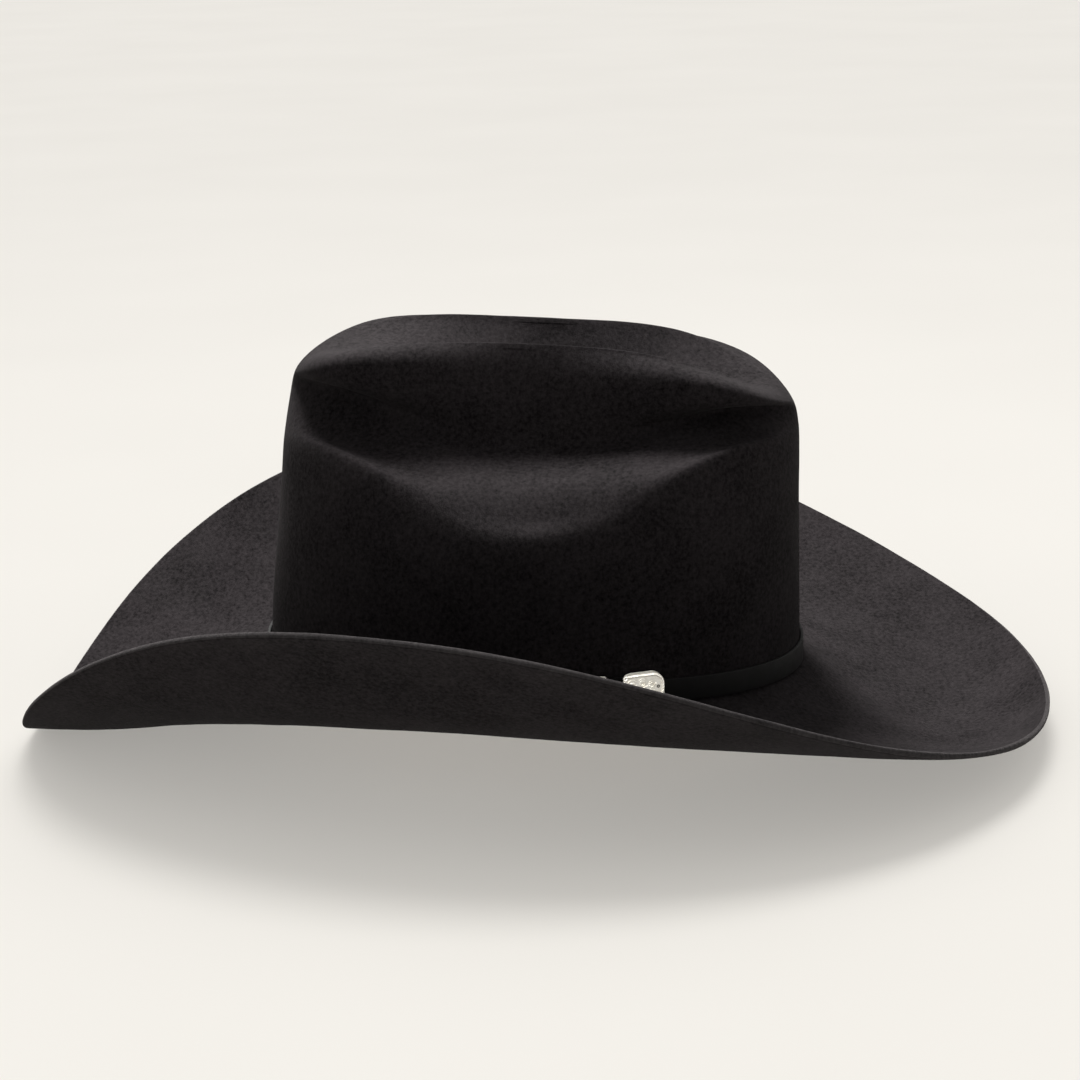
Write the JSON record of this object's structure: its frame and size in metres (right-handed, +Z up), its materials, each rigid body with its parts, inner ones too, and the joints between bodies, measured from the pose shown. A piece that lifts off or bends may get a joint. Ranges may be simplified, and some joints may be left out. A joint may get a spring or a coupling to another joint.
{
  "type": "cowboy hat",
  "caption": "Blocked felt cowboy hat with creased crown, rolled side brim, narrow band with buckle set, leather sweatband and satin lining.",
  "frame": {"origin": "centre of the bounding box on the surface that the brim stands on", "axes": "+Z up, +Y towards the rear of the hat, +X towards the wearer's left"},
  "size_m": [0.3404, 0.3999, 0.1572],
  "materials": {
    "felt": "matte napped fur felt",
    "band": "smooth satin",
    "silver": "polished, engraved",
    "thread": "waxed thread",
    "leather": "smooth grain",
    "reed": "matte",
    "tape": "woven",
    "bow": "grosgrain ribbon",
    "label": "smooth",
    "satin": "satin weave",
    "piping": "satin covered cord",
    "clear": "clear film"
  },
  "bodies": {
    "hat": {"felt_body": "felt", "hat_band": "band", "band_tacks": "thread", "buckle_frame": "silver", "buckle_bar": "silver", "buckle_tacks": "thread", "band_billet": "band", "strap_tip": "silver", "strap_tip_pins": "silver", "sweatband": "leather", "sweatband_reed": "reed", "reed_tape": "tape", "sweatband_stitches": "thread", "sweatband_back_seam": "thread", "sweatband_bow": "bow", "size_label": "label", "lining_side": "satin", "lining_tip": "satin", "lining_cord": "piping", "tip_protector": "clear"},
    "prong": {"buckle_prong": "silver"},
    "keeper": {"strap_keeper": "silver"}
  },
  "joints": [
    {"name": "prong_hinge", "type": "hinge", "parent": "hat", "child": "prong", "pos_m": [0.08694, 0.02257, 0.0397], "axis": [0, 0, 1], "range_deg": [0, 75]},
    {"name": "keeper_slide", "type": "slide", "parent": "hat", "child": "keeper", "axis": [-0.2508, 0.968, 0], "range_m": [-0.003, 0.003]}
  ]
}
